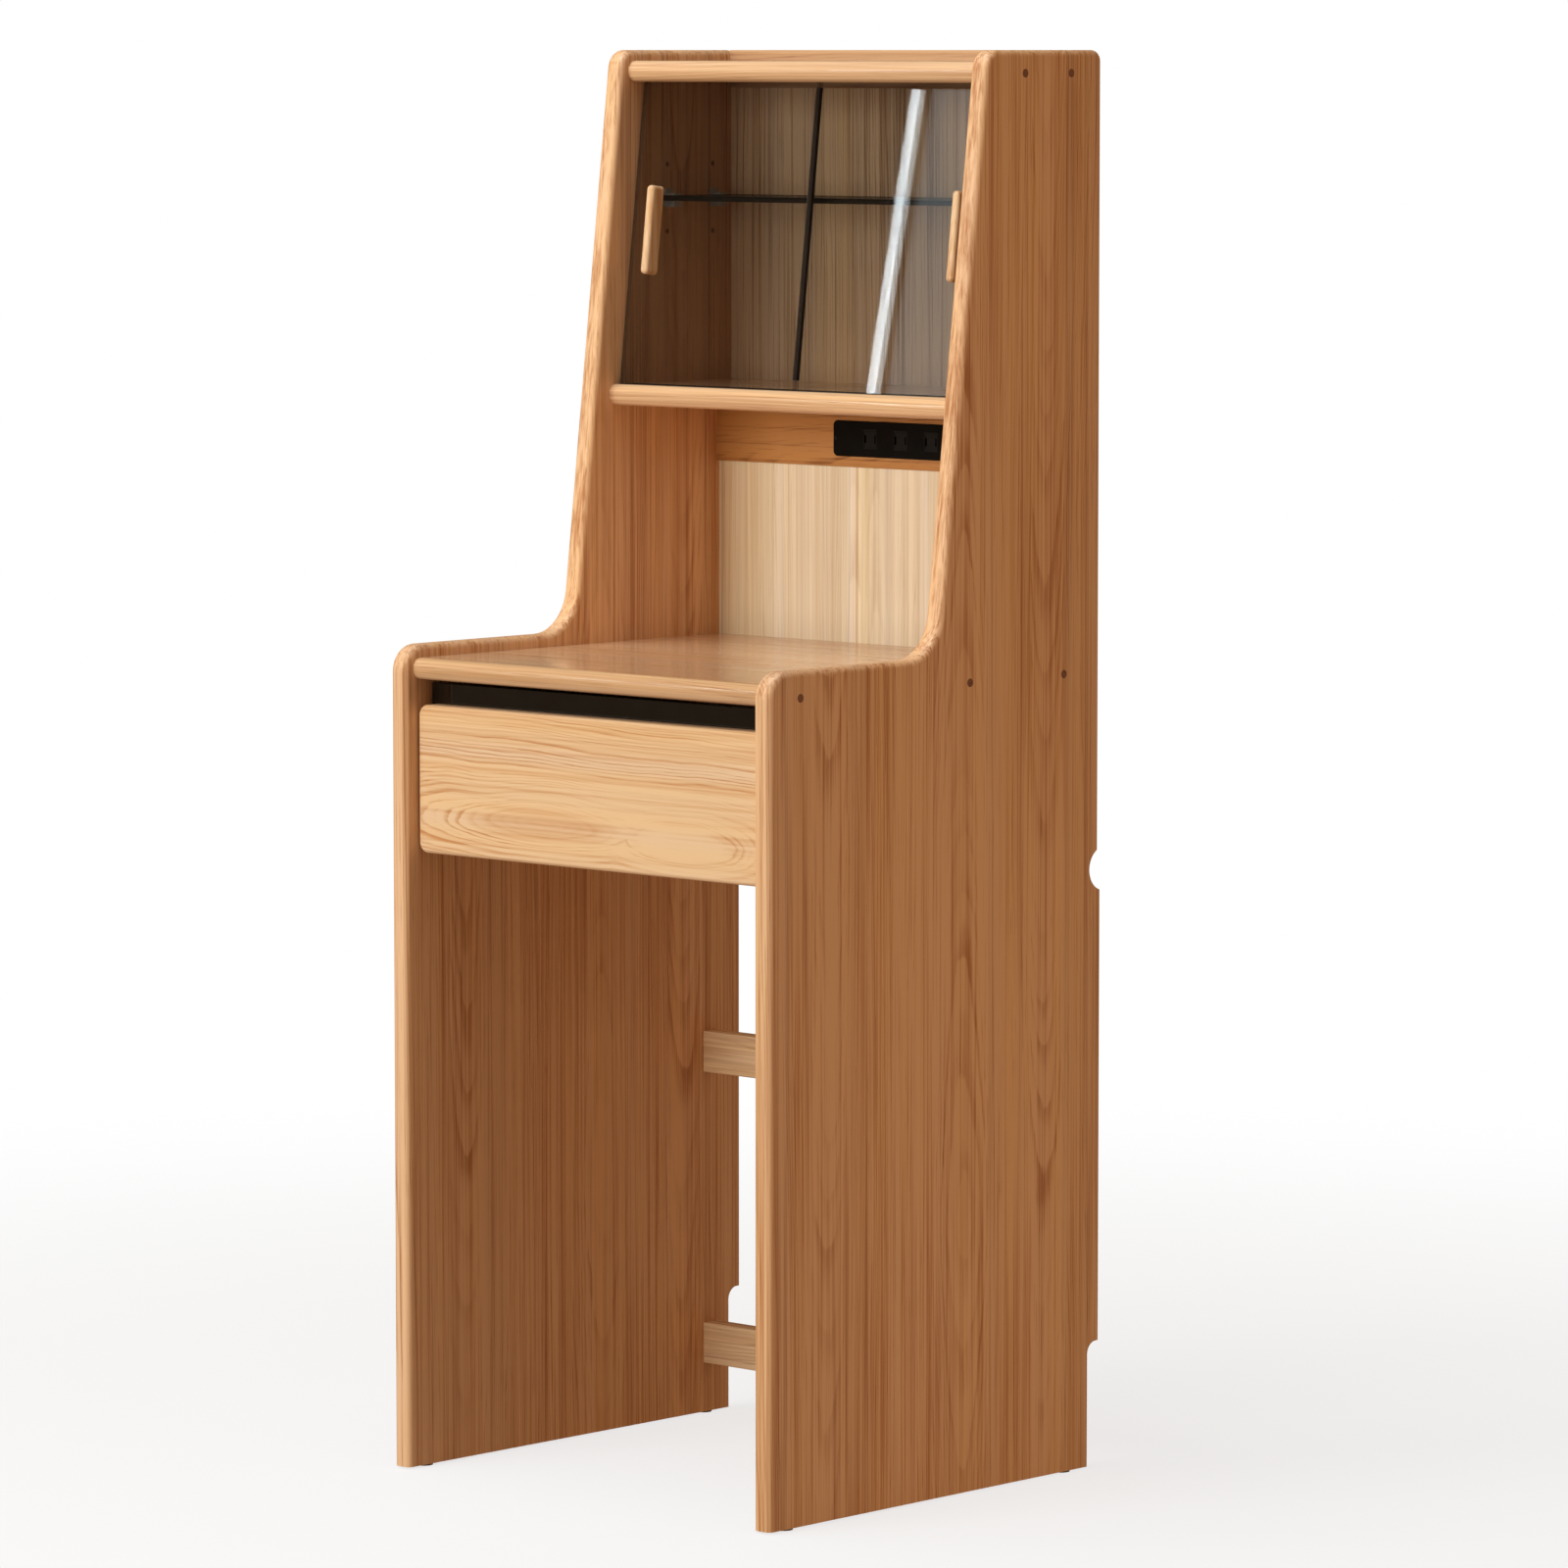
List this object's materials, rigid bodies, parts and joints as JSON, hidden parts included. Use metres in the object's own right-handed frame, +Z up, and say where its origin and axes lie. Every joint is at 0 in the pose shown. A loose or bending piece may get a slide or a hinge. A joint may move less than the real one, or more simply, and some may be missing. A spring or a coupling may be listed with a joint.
{
  "type": "study carrel",
  "caption": "Narrow oak study carrel: high side panels, a worktop with a drawer, an open niche with a socket strip, and a raked cabinet with sliding smoked-glass doors.",
  "frame": {"origin": "on the floor, in the middle of the width and of the depth", "axes": "+X to the right as seen from the front, -Y to the front where the user sits, +Z up"},
  "size_m": [0.48, 0.45, 1.32],
  "materials": {
    "oak_panel": "oiled oak, vertical grain, satin",
    "oak_board": "oiled oak, grain along the width, satin",
    "oak_rail": "oiled oak, satin",
    "oak_back": "pale glued oak staves, vertical, satin",
    "oak_drawer_front": "oiled oak with a cathedral figure, satin",
    "oak_handle": "oiled oak, satin",
    "drawer_wood": "pale drawer-box wood, matt",
    "beech_dowel": "plain beech",
    "walnut_plug": "dark wood plug, satin",
    "smoked_glass": "smoked, polished edges",
    "black_glass": "black smoked, polished",
    "black_rubber": "matt black",
    "black_plastic": "dark brown-black, satin",
    "clear_plastic": "clear moulded",
    "glide_plastic": "matt",
    "screw_steel": "zinc plated",
    "black_screw": "black oxide",
    "zinc_cam": "die-cast zinc, dull",
    "slide_steel": "zinc-plated rolled steel",
    "cage_steel": "pressed cage with bright balls",
    "black_housing": "black, low gloss, fine texture",
    "black_outlet": "black, satin",
    "contact_brass": "plain",
    "usb_steel": "plated",
    "circuit_board": "green laminate"
  },
  "bodies": {
    "carcass": {"cam_bolts": "screw_steel", "cam_locks": "zinc_cam", "carcass_screws": "screw_steel", "door_track_lower": "black_plastic", "door_track_upper": "black_plastic", "dowels": "beech_dowel", "floor_glides": "glide_plastic", "glass_shelf": "smoked_glass", "lower_back_panel": "oak_back", "middle_shelf": "oak_board", "outlet_contacts": "contact_brass", "outlet_inserts": "black_outlet", "rear_apron": "oak_rail", "screw_plugs": "walnut_plug", "shelf_clips": "clear_plastic", "side_panel_left": "oak_panel", "side_panel_right": "oak_panel", "slide_outer_left": "slide_steel", "slide_outer_right": "slide_steel", "slide_screws_panel": "screw_steel", "socket_back_cover": "black_housing", "socket_cable_gland": "black_rubber", "socket_housing": "black_housing", "socket_rail": "oak_rail", "socket_screws": "black_screw", "stretcher_lower": "oak_rail", "stretcher_upper": "oak_rail", "top_back_rail": "oak_rail", "top_board": "oak_board", "upper_back_panel": "oak_back", "usb_board": "circuit_board", "usb_ports": "usb_steel", "worktop": "oak_board"},
    "drawer": {"drawer_front": "oak_drawer_front", "drawer_glass_upstand": "black_glass", "drawer_side_left": "drawer_wood", "drawer_side_right": "drawer_wood", "drawer_box_front": "drawer_wood", "drawer_back": "drawer_wood", "drawer_bottom": "drawer_wood", "drawer_front_screws": "screw_steel", "drawer_dowels": "beech_dowel", "slide_inner_left": "slide_steel", "slide_inner_right": "slide_steel", "slide_screws_drawer": "screw_steel"},
    "slide_middle_left": {"slide_middle_left": "slide_steel"},
    "slide_middle_right": {"slide_middle_right": "slide_steel"},
    "slide_cage_outer_left": {"slide_cage_outer_left": "cage_steel"},
    "slide_cage_outer_right": {"slide_cage_outer_right": "cage_steel"},
    "slide_cage_inner_left": {"slide_cage_inner_left": "cage_steel"},
    "slide_cage_inner_right": {"slide_cage_inner_right": "cage_steel"},
    "door_left": {"door_glass_left": "smoked_glass", "door_handle_left": "oak_handle"},
    "door_right": {"door_glass_right": "smoked_glass", "door_handle_right": "oak_handle", "door_meeting_seal": "black_rubber"}
  },
  "joints": [
    {"name": "drawer_slide", "type": "slide", "parent": "carcass", "child": "drawer", "axis": [0, -1, 0], "range_m": [0, 0.33]},
    {"name": "slide_middle_left_travel", "type": "slide", "parent": "carcass", "child": "slide_middle_left", "axis": [0, -1, 0], "range_m": [0, 0.165]},
    {"name": "slide_cage_outer_left_travel", "type": "slide", "parent": "carcass", "child": "slide_cage_outer_left", "axis": [0, -1, 0], "range_m": [0, 0.0825]},
    {"name": "slide_cage_inner_left_travel", "type": "slide", "parent": "carcass", "child": "slide_cage_inner_left", "axis": [0, -1, 0], "range_m": [0, 0.2475]},
    {"name": "slide_middle_right_travel", "type": "slide", "parent": "carcass", "child": "slide_middle_right", "axis": [0, -1, 0], "range_m": [0, 0.165]},
    {"name": "slide_cage_outer_right_travel", "type": "slide", "parent": "carcass", "child": "slide_cage_outer_right", "axis": [0, -1, 0], "range_m": [0, 0.0825]},
    {"name": "slide_cage_inner_right_travel", "type": "slide", "parent": "carcass", "child": "slide_cage_inner_right", "axis": [0, -1, 0], "range_m": [0, 0.2475]},
    {"name": "door_left_slide", "type": "slide", "parent": "carcass", "child": "door_left", "axis": [1, 0, 0], "range_m": [0, 0.212]},
    {"name": "door_right_slide", "type": "slide", "parent": "carcass", "child": "door_right", "axis": [-1, 0, 0], "range_m": [0, 0.212]}
  ],
  "couplings": [
    {"joint": "slide_middle_left_travel", "follows": "drawer_slide", "ratio": 0.5},
    {"joint": "slide_cage_outer_left_travel", "follows": "drawer_slide", "ratio": 0.25},
    {"joint": "slide_cage_inner_left_travel", "follows": "drawer_slide", "ratio": 0.75},
    {"joint": "slide_middle_right_travel", "follows": "drawer_slide", "ratio": 0.5},
    {"joint": "slide_cage_outer_right_travel", "follows": "drawer_slide", "ratio": 0.25},
    {"joint": "slide_cage_inner_right_travel", "follows": "drawer_slide", "ratio": 0.75}
  ]
}
